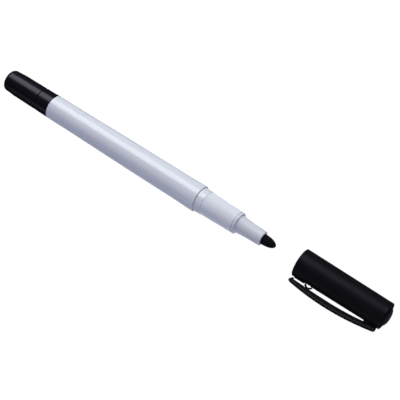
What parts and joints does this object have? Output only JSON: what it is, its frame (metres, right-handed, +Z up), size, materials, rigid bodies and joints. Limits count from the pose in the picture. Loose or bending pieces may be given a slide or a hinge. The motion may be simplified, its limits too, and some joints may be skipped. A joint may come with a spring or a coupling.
{
  "type": "felt tip marker",
  "caption": "Slim felt marker with a bullet tip under a clipped pull-off cap and a fine tip under a ribbed tail cap, lying with the clipped cap pulled off.",
  "frame": {"origin": "on the pen's axis, in the middle of the barrel's straight rear stretch, where a holder grips it", "axes": "+X along the axis from the tail cap to the bullet tip; +Z up from the surface that the pen lies on; the clip hangs on the -Y side, below the horizontal"},
  "size_m": [0.185, 0.0148, 0.0116],
  "materials": {
    "barrel_white": "glossy moulded polypropylene, cool white",
    "holder_white": "moulded polypropylene, finely textured land with a glossy band",
    "nib_felt": "bonded fibre soaked in black ink, matte",
    "reservoir_fibre": "bundled fibre filler full of black ink",
    "reservoir_wrap": "thin wrap of plastic film",
    "tail_black": "satin black moulded plastic",
    "ferrule_steel": "drawn steel tube",
    "cap_black": "fine-grained black moulded plastic",
    "seal_black": "smooth black polyethylene"
  },
  "bodies": {
    "pen": {"barrel": "barrel_white", "front_nib_holder": "holder_white", "bullet_nib": "nib_felt", "ink_reservoir": "reservoir_fibre", "reservoir_film": "reservoir_wrap", "rear_nib_holder": "tail_black", "fine_nib_ferrule": "ferrule_steel", "fine_nib": "nib_felt"},
    "cap": {"cap_shell": "cap_black", "cap_inner_seal": "seal_black"},
    "clip": {"cap_clip": "cap_black"},
    "tail_cap": {"tail_cap": "tail_black"}
  },
  "joints": [
    {"name": "cap_pull", "type": "slide", "parent": "pen", "child": "cap", "axis": [1, 0, 0], "range_m": [-0.0468, 0.02]},
    {"name": "clip_flex", "type": "hinge", "parent": "cap", "child": "clip", "pos_m": [0.14592, -0.00743, -0.00387], "axis": [0, -0.4618, 0.887], "range_deg": [0, 5], "stiffness_Nm_per_rad": 1.5},
    {"name": "tail_cap_pull", "type": "slide", "parent": "pen", "child": "tail_cap", "axis": [-1, 0, 0], "range_m": [0, 0.03]}
  ]
}
